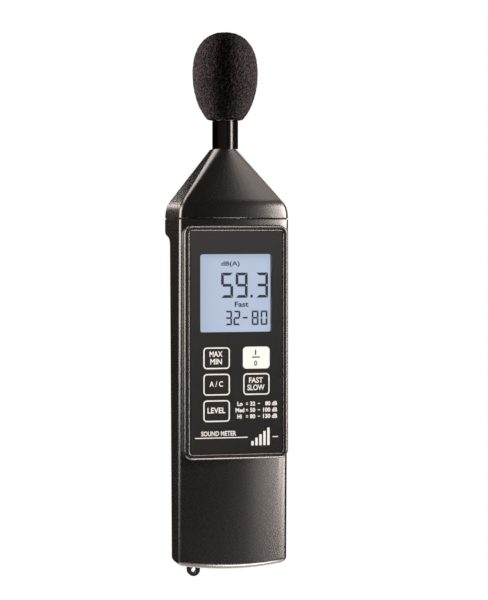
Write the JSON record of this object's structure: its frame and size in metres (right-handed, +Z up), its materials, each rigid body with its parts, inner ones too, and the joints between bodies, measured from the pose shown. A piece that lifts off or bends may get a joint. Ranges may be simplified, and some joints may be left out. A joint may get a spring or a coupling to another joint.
{
  "type": "sound level meter",
  "caption": "Handheld sound level meter with a membrane keypad, recessed display, pyramid head, neck microphone and push-on foam windscreen.",
  "frame": {"origin": "centre of the mouth of the tripod thread in the back of the case", "axes": "+Z up along the instrument to the microphone, -Y out of the keypad, +Y out of the tripod thread, +X to the right seen from the front"},
  "size_m": [0.055, 0.0427, 0.2691],
  "materials": {
    "foam": "open-cell foam",
    "case": "fine spark-eroded satin",
    "neck": "polished",
    "overlay": "fine matt film",
    "power_key": "printed film",
    "lens": "clear acrylic",
    "display": "grey-blue polariser",
    "film": "adhesive film",
    "steel": "bright zinc or spring steel",
    "blackened": "black anodised",
    "brass": "turned",
    "rubber": "moulded",
    "board": "solder mask on glass epoxy",
    "chips": "moulded epoxy",
    "capacitor": "sleeved can",
    "trimmer": "moulded",
    "connector": "moulded nylon",
    "flex": "polyimide film",
    "battery": "lacquered jacket",
    "red_wire": "PVC",
    "black_wire": "PVC",
    "grey_wire": "PVC",
    "pad": "closed-cell foam",
    "label": "satin",
    "zebra": "silicone",
    "frame": "moulded"
  },
  "bodies": {
    "meter": {"microphone_grid": "blackened", "microphone_capsule": "steel", "capsule_sleeve": "rubber", "neck_tube": "neck", "preamp_board": "board", "microphone_lead": "grey_wire", "microphone_plug": "connector", "head_shell": "case", "front_shell": "case", "rear_shell": "case", "case_screws": "steel", "keypad_overlay": "overlay", "keypad_spacer": "film", "keypad_circuit": "film", "keypad_tail": "flex", "snap_domes": "steel", "display_window": "lens", "display_frame": "frame", "display_glass": "display", "zebra_strips": "zebra", "main_board": "board", "board_screws": "steel", "processor_chip": "chips", "amplifier_chips": "chips", "capacitors": "capacitor", "tail_connector": "connector", "trimmer_body": "trimmer", "tripod_insert": "brass", "rating_label": "label", "battery": "battery", "battery_terminals": "steel", "battery_snap": "chips", "red_lead": "red_wire", "black_lead": "black_wire"},
    "windscreen": {"windscreen": "foam"},
    "battery_cover": {"battery_cover": "case", "battery_pad": "pad"},
    "trimmer_screw": {"trimmer_screw": "brass"},
    "power_key": {"power_key": "power_key"},
    "max_min_key": {"max_min_key": "overlay"},
    "weighting_key": {"weighting_key": "overlay"},
    "response_key": {"response_key": "overlay"},
    "level_key": {"level_key": "overlay"}
  },
  "joints": [
    {"name": "windscreen_pull", "type": "slide", "parent": "meter", "child": "windscreen", "axis": [0, 0, 1], "range_m": [0, 0.03]},
    {"name": "battery_cover_slide", "type": "slide", "parent": "meter", "child": "battery_cover", "axis": [0, -0.022, -0.9998], "range_m": [0, 0.056]},
    {"name": "calibration_turn", "type": "hinge", "parent": "meter", "child": "trimmer_screw", "pos_m": [0.022, -0.01229, 0.036], "axis": [1, 0, 0], "range_deg": [-130, 130]},
    {"name": "power_press", "type": "slide", "parent": "meter", "child": "power_key", "axis": [0, 1, 0], "range_m": [0, 0.0004], "stiffness_N_per_m": 1000},
    {"name": "max_min_press", "type": "slide", "parent": "meter", "child": "max_min_key", "axis": [0, 1, 0], "range_m": [0, 0.0004], "stiffness_N_per_m": 1000},
    {"name": "weighting_press", "type": "slide", "parent": "meter", "child": "weighting_key", "axis": [0, 1, 0], "range_m": [0, 0.0004], "stiffness_N_per_m": 1000},
    {"name": "response_press", "type": "slide", "parent": "meter", "child": "response_key", "axis": [0, 1, 0], "range_m": [0, 0.0004], "stiffness_N_per_m": 1000},
    {"name": "level_press", "type": "slide", "parent": "meter", "child": "level_key", "axis": [0, 1, 0], "range_m": [0, 0.0004], "stiffness_N_per_m": 1000}
  ]
}
